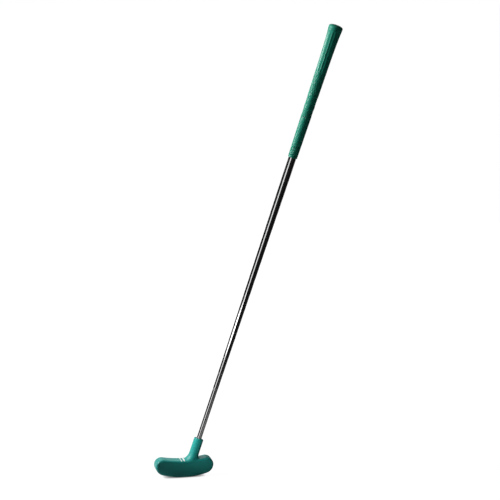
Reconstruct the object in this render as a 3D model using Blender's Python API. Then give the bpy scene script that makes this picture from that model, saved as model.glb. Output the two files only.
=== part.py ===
"""A mini golf putter: a moulded two-way head over a cast core, on a stepped steel shaft with a rubber grip.

Metres, +Z up. X runs from the head's toe to its heel, and Y from its front face to its back face.
The origin is on the ground, under the middle of the head. The shaft leans towards the heel.
"""

import math

import bmesh
import bpy
from mathutils import Matrix, Vector

MM = 0.001
SEAT_GAP = 0.25 * MM  # between pieces that touch
SAME_POINT = 0.001 * MM  # points closer than this become one

# The club
CLUB_LENGTH = 889 * MM  # ground to the edge of the butt, along the shaft
SHAFT_LEAN = math.radians(18.6)  # from upright, towards the heel
SHAFT_FOOT_X = 5.4 * MM  # where the shaft's axis meets the ground

# The head: a bean whose front outline is a rocker sole, two round ends and a dished top
HEAD_LENGTH = 109.6 * MM
HEAD_THICKNESS = 26 * MM
END_LOW_RADIUS = 17.2 * MM  # each end, below its furthest point
END_HIGH_RADIUS = 13.2 * MM  # and above it
SOLE_RADIUS = 146 * MM
SOLE_FLAT = 16 * MM
WAIST_HEIGHT = 31.9 * MM
EDGE_RADIUS = 3.5 * MM

# The neck, which rises from the head along the shaft and spreads into it
NECK_RADIUS = 9 * MM
NECK_TOP = 74.6 * MM  # distances along the shaft are from the ground
NECK_RIM_RADIUS = 1.2 * MM
NECK_MOUTH_RADIUS = 5.6 * MM
TOE_FILLET = 17 * MM
TOE_FILLET_END = math.radians(66)  # past this turn its arc runs straight on into the head
HEEL_FILLET = 2.5 * MM
HEEL_FILLET_FOCUS = 5  # the higher, the sooner it dies away towards the faces
SPREAD_TOP = 54 * MM
SPREAD_BOTTOM = 32 * MM
SPREAD_SHORT_OF_FACE = 0.2 * MM
NECK_ROOT = 20 * MM
NECK_ROOT_RUN = 2 * MM  # straight length under the toe fillet
ROOT_SQUARENESS = 2.3  # exponent of the neck's outline at its root, where 2 is an ellipse

# The cast core inside the cover, with its socket for the shaft
COVER_WALL = 4 * MM
CORE_EDGE_RADIUS = 1 * MM
CORE_POST_RADIUS = 7.2 * MM
CORE_POST_ROOT = 16 * MM
CORE_POST_TOP = 66 * MM
SOCKET_RADIUS = 5.7 * MM
SOCKET_FLOOR = 28 * MM
BOND_THICKNESS = 0.5 * MM

# The two painted lines across the top of the head
LINE_PLACES = (-6.0 * MM, -0.6 * MM)
LINE_GROOVE_WIDTH = 2.1 * MM
LINE_GROOVE_DEPTH = 0.8 * MM
LINE_SPAN = 22.8 * MM
LINE_SUNK = 0.05 * MM

# The shaft: a steel tube of parallel lengths, each a little wider than the one below
SHAFT_TIP_DIAMETER = 9.4 * MM
SHAFT_BUTT_DIAMETER = 14.73 * MM
SHAFT_WALL = 0.5 * MM
SHAFT_STEPS = 14
FIRST_STEP = 173 * MM
STEP_PITCH = 31.75 * MM
STEP_SLOPE = 1.2 * MM  # length of the shoulder at each step

# The grip
GRIP_LENGTH = 256 * MM
GRIP_TAPE_THICKNESS = 0.25 * MM
GRIP_TAPE_SEAM = math.radians(12)
GRIP_SHOULDER_RADIUS = 11.45 * MM  # of the straight taper, carried up to the butt
GRIP_MOUTH_RADIUS = 8.85 * MM
GRIP_FLARE = 2.5 * MM
GRIP_FLARE_LENGTH = 24 * MM
CAP_HEIGHT = 6.8 * MM  # from its underside to the edge of the butt
CAP_RADIUS = 13.6 * MM
CAP_FLAT_RADIUS = 4 * MM
CAP_DOME_START = 2.6 * MM  # down from the edge of the butt
CAP_DOME_RISE = 4.8 * MM
CAP_CHAMFER = 0.35 * MM
CAP_SPIGOT_RADIUS = 6.4 * MM
CAP_SPIGOT_LENGTH = 8 * MM
VENT_RADIUS = 1.25 * MM

# The grip's tread, at distances down from the edge of the butt
FLUTES = 14
FLUTE_DEPTH = 0.6 * MM
FLUTES_FROM = 9.2 * MM
FLUTES_TO = 82 * MM
FLUTE_POINT = 20 * MM  # how much further they run on the front and back
FLUTE_FADE = 5 * MM
RING_GROUPS = ((137.5 * MM, 5), (160.8 * MM, 4))  # where each group starts, and its grooves
RING_PITCH = 3.1 * MM
RING_DEPTH = 0.4 * MM
LIP_LENGTH = 3 * MM
LIP_DEPTH = 0.3 * MM

# How finely the round forms are cut
SHAFT_SIDES = 28
NECK_SIDES = 32
FLUTE_SIDES = 4
ROUND_STEPS = 5
END_STEPS = 7
LONG_ARC_STEPS = 7
TOE_FILLET_STEPS = 8
HEEL_FILLET_STEPS = 4
CAP_DOME_STEPS = 8
FLUTE_RINGS = 4
FLUTE_POINT_RINGS = 5
SHARP_ANGLE = math.radians(35)

SHAFT_FRAME = Matrix.Translation((SHAFT_FOOT_X, 0, 0)) @ Matrix.Rotation(SHAFT_LEAN, 4, "Y")


def clear_scene():
    for old in list(bpy.data.objects):
        bpy.data.objects.remove(old, do_unlink=True)


def finish(name, colour, roughness, metallic=0.0):
    """A Principled material of the piece's own colour."""
    made = bpy.data.materials.new(name)
    made.use_nodes = True
    shader = made.node_tree.nodes["Principled BSDF"]
    shader.inputs["Base Color"].default_value = (*colour, 1)
    shader.inputs["Roughness"].default_value = roughness
    shader.inputs["Metallic"].default_value = metallic
    return made


def add_object(name, bm, material=None):
    """An object from a bmesh, with its faces turned outwards. Without a material it is a guide."""
    bmesh.ops.recalc_face_normals(bm, faces=bm.faces)
    mesh = bpy.data.meshes.new(name)
    bm.to_mesh(mesh)
    bm.free()
    mesh.shade_smooth()
    mesh.set_sharp_from_angle(angle=SHARP_ANGLE)
    made = bpy.data.objects.new(name, mesh)
    bpy.context.collection.objects.link(made)
    if material:
        mesh.materials.append(material)
    else:
        made.hide_render = True
        made.display_type = "WIRE"
    return made


def smooth_by_angle(piece):
    """Leaves a last modifier on a piece, which shades it smooth except across its sharp edges."""
    group = bpy.data.node_groups.new(f"{piece.name} shading", "GeometryNodeTree")
    group.interface.new_socket("Geometry", in_out="INPUT", socket_type="NodeSocketGeometry")
    group.interface.new_socket("Geometry", in_out="OUTPUT", socket_type="NodeSocketGeometry")
    given = group.nodes.new("NodeGroupInput")
    result = group.nodes.new("NodeGroupOutput")
    angle = group.nodes.new("GeometryNodeInputMeshEdgeAngle")
    gentle = group.nodes.new("FunctionNodeCompare")
    gentle.operation = "LESS_THAN"
    gentle.inputs["B"].default_value = SHARP_ANGLE
    shade = group.nodes.new("GeometryNodeSetShadeSmooth")
    shade.domain = "EDGE"
    group.links.new(angle.outputs["Unsigned Angle"], gentle.inputs["A"])
    group.links.new(gentle.outputs["Result"], shade.inputs["Shade Smooth"])
    group.links.new(given.outputs["Geometry"], shade.inputs["Geometry"])
    group.links.new(shade.outputs["Geometry"], result.inputs["Geometry"])
    piece.modifiers.new("smooth by angle", "NODES").node_group = group


def combine(target, other, operation):
    """Leaves a Boolean on the target, which takes in, takes out or keeps what the other holds."""
    cut = target.modifiers.new(f"{operation.lower()} {other.name}", "BOOLEAN")
    cut.operation = operation
    cut.solver = "EXACT"
    cut.object = other


def along_shaft(piece):
    """Stands a piece that was made round its own Z on the shaft's axis."""
    piece.matrix_world = SHAFT_FRAME
    return piece


def steps_between(start, end, steps):
    """Evenly spaced values from start to end, both included."""
    return [start + (end - start) * i / steps for i in range(steps + 1)]


def smooth_share(value, start, end):
    """0 at start and 1 at end, eased at both, and held beyond them."""
    share = min(max((value - start) / (end - start), 0), 1)
    return share**2 * (3 - 2 * share)


def skin(rings, capped=True):
    """Faces between each ring of points and the next, and over the two open ends."""
    bm = bmesh.new()
    loops = [[bm.verts.new(point) for point in ring] for ring in rings]
    count = len(loops[0])
    for low, high in zip(loops, loops[1:]):
        for i in range(count):
            j = (i + 1) % count
            bm.faces.new((low[i], low[j], high[j], high[i]))
    if capped:
        bm.faces.new(loops[0])
        bm.faces.new(loops[-1])
    return bm


def turned(profile, sides):
    """A closed profile of (radius, height) points, spun once round Z."""
    bm = bmesh.new()
    points = [bm.verts.new((radius, 0, height)) for radius, height in profile]
    edges = [bm.edges.new((a, b)) for a, b in zip(points, points[1:] + points[:1])]
    bmesh.ops.spin(
        bm,
        geom=points + edges,
        cent=(0, 0, 0),
        axis=(0, 0, 1),
        angle=2 * math.pi,
        steps=sides,
        use_merge=True,
    )
    bmesh.ops.remove_doubles(bm, verts=bm.verts, dist=SAME_POINT)
    return bm


def rod(radius, low, high):
    """A plain round bar along Z."""
    bm = bmesh.new()
    bmesh.ops.create_cone(
        bm,
        cap_ends=True,
        segments=SHAFT_SIDES,
        radius1=radius,
        radius2=radius,
        depth=high - low,
        matrix=Matrix.Translation((0, 0, (low + high) / 2)),
    )
    return bm


def bean_circles():
    """The circles of the head's heel half as (x, z, radius): sole, low end, high end and top.

    Each arc meets the next smoothly. The sole's circle sinks a little, to leave its flat at the ground.
    """
    sole_z = math.sqrt(SOLE_RADIUS**2 - (SOLE_FLAT / 2) ** 2)
    low_x = HEAD_LENGTH / 2 - END_LOW_RADIUS
    end_z = sole_z - math.sqrt((SOLE_RADIUS - END_LOW_RADIUS) ** 2 - low_x**2)
    high_x = HEAD_LENGTH / 2 - END_HIGH_RADIUS
    drop = WAIST_HEIGHT - end_z
    top_radius = (high_x**2 + drop**2 - END_HIGH_RADIUS**2) / (2 * (END_HIGH_RADIUS - drop))
    return (
        (0, sole_z, SOLE_RADIUS),
        (low_x, end_z, END_LOW_RADIUS),
        (high_x, end_z, END_HIGH_RADIUS),
        (0, WAIST_HEIGHT + top_radius, top_radius),
    )


def arc(circle, grown, start, end, steps):
    """Points (x, z) on a circle made larger by grown, from one angle up to the next arc's start."""
    x, z, radius = circle
    return [
        (x + (radius + grown) * math.cos(angle), z + (radius + grown) * math.sin(angle))
        for angle in steps_between(start, end, steps)[:-1]
    ]


def bean_outline(inset):
    """The head's outline seen from the front, drawn in by the inset, anticlockwise from the sole's flat."""
    sole, low, high, top = bean_circles()
    flat_turn = math.acos((sole[1] - inset) / (sole[2] - inset)) - math.pi / 2
    sole_turn = math.atan2(low[1] - sole[1], low[0] - sole[0])
    top_turn = math.atan2(top[1] - high[1], top[0] - high[0])
    half = [
        *arc(sole, -inset, flat_turn, sole_turn, LONG_ARC_STEPS),
        *arc(low, -inset, sole_turn, 0, END_STEPS),
        *arc(high, -inset, 0, top_turn, END_STEPS),
        *arc(top, inset, top_turn + math.pi, 1.5 * math.pi, LONG_ARC_STEPS),
    ]
    middle = [(0, WAIST_HEIGHT - inset)]
    return half + middle + [(-x, z) for x, z in reversed(half)]


def bean(inset):
    """The head's body, drawn in all round by the inset: rings from face to face, rounded at both edges."""
    half = HEAD_THICKNESS / 2 - inset
    edge = max(EDGE_RADIUS - inset, CORE_EDGE_RADIUS)
    turns = steps_between(0, math.pi / 2, ROUND_STEPS)
    front = [(-(half - edge + edge * math.sin(turn)), turn) for turn in reversed(turns)]
    rings = []
    for y, turn in front + [(-y, turn) for y, turn in reversed(front)]:
        outline = bean_outline(inset + edge * (1 - math.cos(turn)))
        rings.append([(x, y, z) for x, z in outline])
    return skin(rings)


def fillet_start(side, radius):
    """Where a fillet leaves the neck's wall, on the toe side (1) or the heel side (-1).

    Its arc touches that wall and the hollow arc of the head's top.
    """
    top_x, top_z, top_radius = bean_circles()[-1]
    axis = Vector((math.sin(SHAFT_LEAN), math.cos(SHAFT_LEAN)))
    toeward = Vector((-axis.y, axis.x))
    to_top = Vector((top_x - SHAFT_FOOT_X, top_z))
    across = to_top.dot(toeward) - side * (NECK_RADIUS + radius)
    return to_top.dot(axis) - math.sqrt((top_radius - radius) ** 2 - across**2)


def neck_reach(along, start, radius, last_turn):
    """The neck's half depth in the lean's plane: its wall, then a fillet, then straight down in the head."""
    into = min(max(start - along, 0), radius * math.sin(last_turn))
    return NECK_RADIUS + radius - math.sqrt(radius**2 - into**2)


def neck_half_width(along):
    """The neck's half width across the faces, which spreads smoothly to nearly the head's thickness."""
    spread = HEAD_THICKNESS / 2 - SPREAD_SHORT_OF_FACE - NECK_RADIUS
    return NECK_RADIUS + spread * smooth_share(along, SPREAD_TOP, SPREAD_BOTTOM)


def neck_ring(along, toe_reach, heel_reach, half_width):
    """One ring of the neck: a circle high up, and a longer and squarer form where it spreads."""
    spread = (half_width - NECK_RADIUS) / (HEAD_THICKNESS / 2 - NECK_RADIUS)
    power = 2 / (2 + (ROOT_SQUARENESS - 2) * spread)
    ring = []
    for turn in steps_between(0, 2 * math.pi, NECK_SIDES)[:-1]:
        lengthways, across = math.cos(turn), math.sin(turn)
        if lengthways > 0:
            reach = NECK_RADIUS + (heel_reach - NECK_RADIUS) * lengthways**HEEL_FILLET_FOCUS
        else:
            reach = toe_reach
        x = math.copysign(reach * abs(lengthways) ** power, lengthways)
        y = math.copysign(half_width * abs(across) ** power, across)
        ring.append((x, y, along))
    return ring


def neck():
    """The neck as rings from its root inside the head up to its rounded rim."""
    toe_start, heel_start = fillet_start(1, TOE_FILLET), fillet_start(-1, HEEL_FILLET)
    stations = [
        toe_start - TOE_FILLET * math.sin(turn)
        for turn in steps_between(0, TOE_FILLET_END, TOE_FILLET_STEPS)
    ]
    toe_end = stations[-1]
    stations += [
        heel_start - HEEL_FILLET * math.sin(turn)
        for turn in steps_between(0, math.pi / 2, HEEL_FILLET_STEPS)[1:]
    ]
    stations += [NECK_ROOT, SPREAD_TOP, (SPREAD_TOP + toe_start) / 2, toe_end - NECK_ROOT_RUN]
    rings = []
    for along in sorted(stations):
        rings.append(
            neck_ring(
                along,
                neck_reach(along, toe_start, TOE_FILLET, TOE_FILLET_END),
                neck_reach(along, heel_start, HEEL_FILLET, math.pi / 2),
                neck_half_width(along),
            )
        )
    round_turns = steps_between(0, 2 * math.pi, NECK_SIDES)[:-1]
    for turn in steps_between(0, math.pi / 2, ROUND_STEPS - 1):
        radius = NECK_RADIUS - NECK_RIM_RADIUS * (1 - math.cos(turn))
        along = NECK_TOP - NECK_RIM_RADIUS * (1 - math.sin(turn))
        rings.append([(radius * math.cos(a), radius * math.sin(a), along) for a in round_turns])
    return skin(rings)


def head_form(name, sunk):
    """A guide of the head's whole outside, lowered a little."""
    body = add_object(f"{name}_body", bean(0))
    root = along_shaft(add_object(f"{name}_neck", neck()))
    for piece in (body, root):
        piece.location.z -= sunk
    combine(body, root, "UNION")
    return body


def slab(name, x, width, span, material=None):
    """An upright slice across the top of the head."""
    bm = bmesh.new()
    size = Matrix.Diagonal((width, span, WAIST_HEIGHT / 2, 1))
    place = Matrix.Translation((x, 0, WAIST_HEIGHT))
    bmesh.ops.create_cube(bm, size=1, matrix=place @ size)
    return add_object(name, bm, material)


def make_head():
    """The rubber cover, and the cast core that it is moulded over, each hollowed for what it holds."""
    teal = (0.018, 0.205, 0.185)
    cover = add_object("head_cover", bean(0), finish("moulded rubber", teal, 0.42))
    combine(cover, along_shaft(add_object("neck_form", neck())), "UNION")

    core = add_object("head_core", bean(COVER_WALL), finish("cast zinc", (0.36, 0.36, 0.37), 0.5, 1.0))
    post = rod(CORE_POST_RADIUS, CORE_POST_ROOT, CORE_POST_TOP)
    socket = rod(SOCKET_RADIUS, SOCKET_FLOOR, CORE_POST_TOP + SOCKET_RADIUS)
    combine(core, along_shaft(add_object("post_form", post)), "UNION")
    combine(core, along_shaft(add_object("socket_form", socket)), "DIFFERENCE")

    core_room = bean(COVER_WALL - SEAT_GAP)
    post_room = rod(CORE_POST_RADIUS + SEAT_GAP, CORE_POST_ROOT, CORE_POST_TOP + SEAT_GAP)
    mouth = rod(NECK_MOUTH_RADIUS, CORE_POST_TOP, NECK_TOP + NECK_MOUTH_RADIUS)
    combine(cover, add_object("core_room_form", core_room), "DIFFERENCE")
    combine(cover, along_shaft(add_object("post_room_form", post_room)), "DIFFERENCE")
    combine(cover, along_shaft(add_object("mouth_form", mouth)), "DIFFERENCE")
    make_lines(cover)
    smooth_by_angle(cover)
    smooth_by_angle(core)


def make_lines(cover):
    """Two painted inlays, each in its own groove across the top of the head."""
    white = finish("white paint", (0.86, 0.88, 0.86), 0.5)
    floor = head_form("groove_floor", LINE_GROOVE_DEPTH)
    underside = head_form("line_underside", LINE_GROOVE_DEPTH - SEAT_GAP)
    surface = head_form("line_surface", LINE_SUNK)
    for number, x in enumerate(LINE_PLACES, 1):
        groove = slab(f"groove_{number}", x, LINE_GROOVE_WIDTH, LINE_SPAN)
        combine(groove, floor, "DIFFERENCE")
        combine(cover, groove, "DIFFERENCE")
        width, span = LINE_GROOVE_WIDTH - 2 * SEAT_GAP, LINE_SPAN - 2 * SEAT_GAP
        line = slab(f"alignment_line_{number}", x, width, span, white)
        combine(line, surface, "INTERSECT")
        combine(line, underside, "DIFFERENCE")
        smooth_by_angle(line)


def make_bond():
    """The sleeve of glue between the shaft's tip and the core's socket."""
    inner = SHAFT_TIP_DIAMETER / 2 + SEAT_GAP
    outer = inner + BOND_THICKNESS - SEAT_GAP
    low, high = SOCKET_FLOOR + 2 * SEAT_GAP, CORE_POST_TOP
    sleeve = turned([(inner, low), (outer, low), (outer, high), (inner, high)], SHAFT_SIDES)
    along_shaft(add_object("hosel_bond", sleeve, finish("epoxy", (0.55, 0.48, 0.30), 0.4)))


def make_shaft():
    """The shaft's outer profile climbs in steps, and its bore follows."""
    tip, butt = SHAFT_TIP_DIAMETER / 2, SHAFT_BUTT_DIAMETER / 2
    rise = (butt - tip) / SHAFT_STEPS
    bottom = SOCKET_FLOOR + 2 * SEAT_GAP
    top = CLUB_LENGTH - CAP_HEIGHT - SEAT_GAP
    outer = [(tip, bottom)]
    for step in range(SHAFT_STEPS):
        low = FIRST_STEP + step * STEP_PITCH
        outer.append((tip + step * rise, low))
        outer.append((tip + (step + 1) * rise, low + STEP_SLOPE))
    outer.append((butt, top))
    last_step = FIRST_STEP + (SHAFT_STEPS - 1) * STEP_PITCH
    bore = [
        (butt - SHAFT_WALL, top),
        (butt - SHAFT_WALL, last_step + 2 * STEP_SLOPE),
        (tip - SHAFT_WALL, FIRST_STEP),
        (tip - SHAFT_WALL, bottom),
    ]
    chrome = finish("chrome plated steel", (0.62, 0.63, 0.65), 0.12, 1.0)
    along_shaft(add_object("shaft", turned(outer + bore, SHAFT_SIDES), chrome))


def make_tape():
    """A strip of tape wrapped round the shaft, with a narrow seam where its edges stop."""
    inner = SHAFT_BUTT_DIAMETER / 2 + SEAT_GAP
    outer = inner + GRIP_TAPE_THICKNESS
    low = CLUB_LENGTH - GRIP_LENGTH + LIP_LENGTH
    high = CLUB_LENGTH - CAP_HEIGHT - LIP_LENGTH
    corners = ((inner, low), (outer, low), (outer, high), (inner, high))
    rings = []
    for turn in steps_between(GRIP_TAPE_SEAM / 2, 2 * math.pi - GRIP_TAPE_SEAM / 2, SHAFT_SIDES):
        rings.append([(r * math.cos(turn), r * math.sin(turn), z) for r, z in corners])
    along_shaft(add_object("grip_tape", skin(rings), finish("masking tape", (0.74, 0.66, 0.50), 0.8)))


def grip_radius(down):
    """The plain grip's radius at a distance down from the edge of the butt: a straight taper and a flare."""
    taper = (GRIP_SHOULDER_RADIUS - GRIP_MOUTH_RADIUS) * down / GRIP_LENGTH
    return GRIP_SHOULDER_RADIUS - taper + GRIP_FLARE * math.exp(-down / GRIP_FLARE_LENGTH)


def flute_cut(down, turn):
    """Depth of the lengthwise flutes, which run furthest on the front and the back, to a point."""
    end = FLUTES_TO + FLUTE_POINT * (1 - abs(math.cos(turn)))
    fade_in = min(max((down - FLUTES_FROM) / FLUTE_FADE, 0), 1)
    fade_out = min(max((end - down) / FLUTE_FADE, 0), 1)
    return FLUTE_DEPTH * fade_in * fade_out * (0.5 - 0.5 * math.cos(FLUTES * turn))


def grip_stations():
    """Distances down from the edge of the butt at which the grip has a ring, each with its groove's depth."""
    plain = [CAP_HEIGHT + SEAT_GAP, FLUTES_FROM]
    plain += steps_between(FLUTES_FROM + FLUTE_FADE, FLUTES_TO - FLUTE_FADE, FLUTE_RINGS)
    plain += steps_between(FLUTES_TO, FLUTES_TO + FLUTE_POINT, FLUTE_POINT_RINGS)
    stations = [(down, 0) for down in plain]
    for start, grooves in RING_GROUPS:
        for i in range(grooves):
            stations.append((start + i * RING_PITCH, 0))
            stations.append((start + (i + 0.5) * RING_PITCH, RING_DEPTH))
        stations.append((start + grooves * RING_PITCH, 0))
    lip = GRIP_LENGTH - LIP_LENGTH
    stations += [(lip - LIP_LENGTH, 0), (lip, LIP_DEPTH), (lip + LIP_LENGTH / 3, 0), (GRIP_LENGTH, 0)]
    return stations


def make_grip():
    """The grip's sleeve: tread rings down the outside, then the bore back up inside."""
    turns = steps_between(0, 2 * math.pi, FLUTES * FLUTE_SIDES)[:-1]
    bore = SHAFT_BUTT_DIAMETER / 2 + 2 * SEAT_GAP + GRIP_TAPE_THICKNESS
    rings = []
    for down, groove in grip_stations():
        height = CLUB_LENGTH - down
        radii = [grip_radius(down) - groove - flute_cut(down, turn) for turn in turns]
        rings.append([(r * math.cos(a), r * math.sin(a), height) for r, a in zip(radii, turns)])
    for height in (CLUB_LENGTH - GRIP_LENGTH, CLUB_LENGTH - CAP_HEIGHT - SEAT_GAP):
        rings.append([(bore * math.cos(a), bore * math.sin(a), height) for a in turns])
    bm = skin(rings + rings[:1], capped=False)
    bmesh.ops.remove_doubles(bm, verts=bm.verts, dist=SAME_POINT)
    along_shaft(add_object("grip_body", bm, finish("grip rubber", (0.022, 0.205, 0.132), 0.5)))


def make_cap():
    """The grip's end cap: a domed disc with a vent hole, and a spigot that goes into the shaft."""
    under = CLUB_LENGTH - CAP_HEIGHT
    spigot_end = under - CAP_SPIGOT_LENGTH
    wall_top = CLUB_LENGTH - CAP_DOME_START
    dome = []
    for turn in steps_between(0, math.pi / 2, CAP_DOME_STEPS):
        radius = CAP_FLAT_RADIUS + (CAP_RADIUS - CAP_FLAT_RADIUS) * math.cos(turn)
        dome.append((radius, wall_top + CAP_DOME_RISE * math.sin(turn)))
    profile = [
        (VENT_RADIUS, spigot_end),
        (CAP_SPIGOT_RADIUS - CAP_CHAMFER, spigot_end),
        (CAP_SPIGOT_RADIUS, spigot_end + 2 * CAP_CHAMFER),
        (CAP_SPIGOT_RADIUS, under),
        (CAP_RADIUS - CAP_CHAMFER, under),
        (CAP_RADIUS, under + CAP_CHAMFER),
        *dome,
        (VENT_RADIUS, wall_top + CAP_DOME_RISE),
    ]
    cap = turned(profile, SHAFT_SIDES)
    along_shaft(add_object("grip_cap", cap, finish("cap rubber", (0.025, 0.225, 0.150), 0.45)))


clear_scene()
make_head()
make_bond()
make_shaft()
make_tape()
make_grip()
make_cap()
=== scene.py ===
"""The mini golf putter in its finished look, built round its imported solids, in a plain pale studio.

Metres, +Z up. X runs from the head's toe to its heel, and Y from its front face to its back face.
The pieces are made in these axes, so every object stays at the origin.
"""

import math

import bpy
import numpy as np
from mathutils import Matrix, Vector


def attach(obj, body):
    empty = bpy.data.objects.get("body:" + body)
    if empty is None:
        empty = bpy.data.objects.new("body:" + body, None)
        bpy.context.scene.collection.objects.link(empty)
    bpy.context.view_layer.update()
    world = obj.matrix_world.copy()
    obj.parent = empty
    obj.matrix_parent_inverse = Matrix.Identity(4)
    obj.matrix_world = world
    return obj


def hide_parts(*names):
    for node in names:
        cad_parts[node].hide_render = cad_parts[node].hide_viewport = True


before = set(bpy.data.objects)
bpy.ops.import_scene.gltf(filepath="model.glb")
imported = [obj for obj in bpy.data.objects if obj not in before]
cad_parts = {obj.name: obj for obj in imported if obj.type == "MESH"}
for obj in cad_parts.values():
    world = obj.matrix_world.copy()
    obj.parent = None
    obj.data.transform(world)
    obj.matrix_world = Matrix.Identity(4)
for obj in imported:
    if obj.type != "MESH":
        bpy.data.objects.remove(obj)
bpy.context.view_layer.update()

MM = 0.001

# The club, as in its solids
CLUB_LENGTH = 889 * MM  # ground to the edge of the butt, along the shaft
SHAFT_LEAN = math.radians(18.6)  # from upright, towards the heel
SHAFT_FOOT_X = 5.4 * MM  # where the shaft's axis meets the ground

# The head's front outline: a rocker sole, two round ends and a dished top
HEAD_LENGTH = 109.6 * MM
HEAD_THICKNESS = 26 * MM
END_LOW_RADIUS = 17.2 * MM
END_HIGH_RADIUS = 13.2 * MM
SOLE_RADIUS = 146 * MM
SOLE_FLAT = 16 * MM
WAIST_HEIGHT = 31.9 * MM
EDGE_RADIUS = 3.5 * MM
HEAD_TOP_RANGE = (20 * MM, 48 * MM)  # the top's height at the lines is between these

# The neck, whose distances along the shaft are from the ground
NECK_RADIUS = 9 * MM
NECK_TOP = 74.6 * MM
NECK_RIM_RADIUS = 1.2 * MM
NECK_MOUTH_RADIUS = 5.6 * MM
NECK_MOUTH_EDGE = 0.6 * MM
TOE_FILLET = 17 * MM
TOE_FILLET_END = math.radians(66)
SPREAD_TOP = 54 * MM
SPREAD_BOTTOM = 32 * MM
SPREAD_SHORT_OF_FACE = 0.2 * MM
NECK_ROOT = 20 * MM
ROOT_SQUARENESS = 2.3
ROOT_BLEND = 5 * MM  # how far neck and body run into each other where they meet at a right angle
ROOT_BLEND_FADE = (24 * MM, 32 * MM)  # it starts at the lower distance and is whole at the higher

# The room inside the head for the cast core and its post
CORE_ROOM_INSET = 3.75 * MM
CORE_EDGE_RADIUS = 1 * MM
CORE_ROOM_CEILING = WAIST_HEIGHT + 6 * MM
POST_ROOM_RADIUS = 7.45 * MM
POST_ROOM_LOW = 16 * MM
POST_ROOM_HIGH = 66.25 * MM
POST_ROOM_PAST_RIM = 2 * MM

# The two painted lines in their grooves
LINE_PLACES = (-6.0 * MM, -0.6 * MM)
LINE_GROOVE_WIDTH = 2.1 * MM
LINE_GROOVE_DEPTH = 0.8 * MM
LINE_GROOVE_SPAN = 22.8 * MM
LINE_GROOVE_CUT_FROM = 2 * MM  # above the head's top
LINE_WIDTH = 2.0 * MM
LINE_SHORTER = 0.1 * MM  # than its groove
LINE_SUNK = 0.05 * MM
LINE_THICKNESS = 0.6 * MM

# The stepped shaft
SHAFT_TIP_RADIUS = 4.7 * MM
SHAFT_TIP_CHAMFER = (0.3 * MM, 0.4 * MM)  # across the shaft and along it
SHAFT_BUTT_RADIUS = 7.365 * MM
SHAFT_WALL = 0.5 * MM
SHAFT_STEPS = 14
FIRST_STEP = 173 * MM
STEP_PITCH = 31.75 * MM
STEP_SLOPE = 1.2 * MM
SHAFT_BOTTOM = 28.5 * MM

# The grip, at distances down from the edge of the butt
GRIP_LENGTH = 256 * MM
GRIP_SHOULDER_RADIUS = 11.45 * MM
GRIP_MOUTH_RADIUS = 8.85 * MM
GRIP_BORE_RADIUS = 8.115 * MM
GRIP_FLARE = 2.5 * MM
GRIP_FLARE_LENGTH = 24 * MM
GRIP_TOP = 7.05 * MM
GRIP_TOP_EDGE = 0.4 * MM
MOUTH_EDGE = 0.5 * MM
MOUTH_CLEARANCE = 0.15 * MM
FLUTES = 14
FLUTE_CREST_TURN = math.radians(12.1)  # from heelward, towards the back
FLUTE_DEPTH = 0.62 * MM
FLUTE_ROUNDNESS = 0.8
FLUTES_FROM = 9.2 * MM
FLUTES_TO = 82 * MM
FLUTE_POINT = 20 * MM
FLUTE_FADE = 4 * MM
HATCH_GAP = 1 * MM
HATCH_TO = 135.5 * MM
RING_GROUPS = ((137.5 * MM, 5), (160.8 * MM, 4))
RING_PITCH = 3.1 * MM
RING_DEPTH = 0.6 * MM
DOTS = (173.9 * MM, 180.0 * MM)
LATTICE = (181.5 * MM, 230.5 * MM)
KNURL = (232 * MM, 252 * MM)
LIP_GROOVE = 253 * MM
LIP_GROOVE_REACH = 1 * MM
LIP_GROOVE_DEPTH = 0.3 * MM
LIP_GROOVE_FADE = 0.9 * MM

# The crossed grooves of the grip's patterns: how many wind each way, their pitch down the grip, the sine
# of their phase at their edges, their depth, and how far they fade at each end of the pattern
HATCH_GROOVES = dict(count=FLUTES / 2, pitch=8.6 * MM, width=0.55, depth=0.42 * MM, fade=1.5 * MM)
DOT_GROOVES = dict(count=FLUTES, pitch=3 * MM, width=0.6, depth=0.35 * MM, fade=0.8 * MM)
LATTICE_GROOVES = dict(count=FLUTES / 2, pitch=10 * MM, width=0.3, depth=0.2 * MM, fade=1.5 * MM)
KNURL_GROOVES = dict(count=FLUTES, pitch=3.2 * MM, width=0.6, depth=0.35 * MM, fade=1.2 * MM)

# The grip's cap
CAP_HEIGHT = 6.8 * MM
CAP_RADIUS = 13.6 * MM
CAP_WALL_RADIUS = 13.4 * MM
CAP_BEAD_RADIUS = 0.6 * MM
CAP_HOLLOW_RADIUS = 0.35 * MM
CAP_HOLLOW_CENTRE = (0.25 * MM, 1.55 * MM)  # out from the wall, and up from the lower edge
CAP_FLAT_RADIUS = 4 * MM
CAP_DOME_START = 2.6 * MM
CAP_DOME_RISE = 4.8 * MM
CAP_RINGS = (2.9 * MM, 9.5 * MM)
CAP_RING_PITCH = 2.2 * MM
CAP_RING_DEPTH = 0.22 * MM
CAP_SPIGOT_RADIUS = 6.4 * MM
CAP_SPIGOT_LENGTH = 8 * MM
CAP_SPIGOT_CHAMFER = (0.5 * MM, 0.8 * MM)  # across the shaft and along it
VENT_RADIUS = 1.25 * MM
VENT_EDGE = 0.4 * MM

# How finely the pieces are meshed
HEAD_PITCH = 0.6 * MM
CORE_ROOM_PITCH = 1.5 * MM
POST_ROOM_SIDES = 96
LINE_POINTS = (9, 97)  # across a line and along it
SHAFT_SIDES = 96
STEP_POINTS = 6
GRIP_SIDES = FLUTES * 18
CAP_SIDES = 128
CAP_DOME_POINTS, CAP_FLAT_POINTS = 60, 12

# The colours of the two rubbers
TEAL = (0.013, 0.315, 0.280)
GREEN = (0.014, 0.318, 0.214)


# Axes along the shaft

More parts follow.
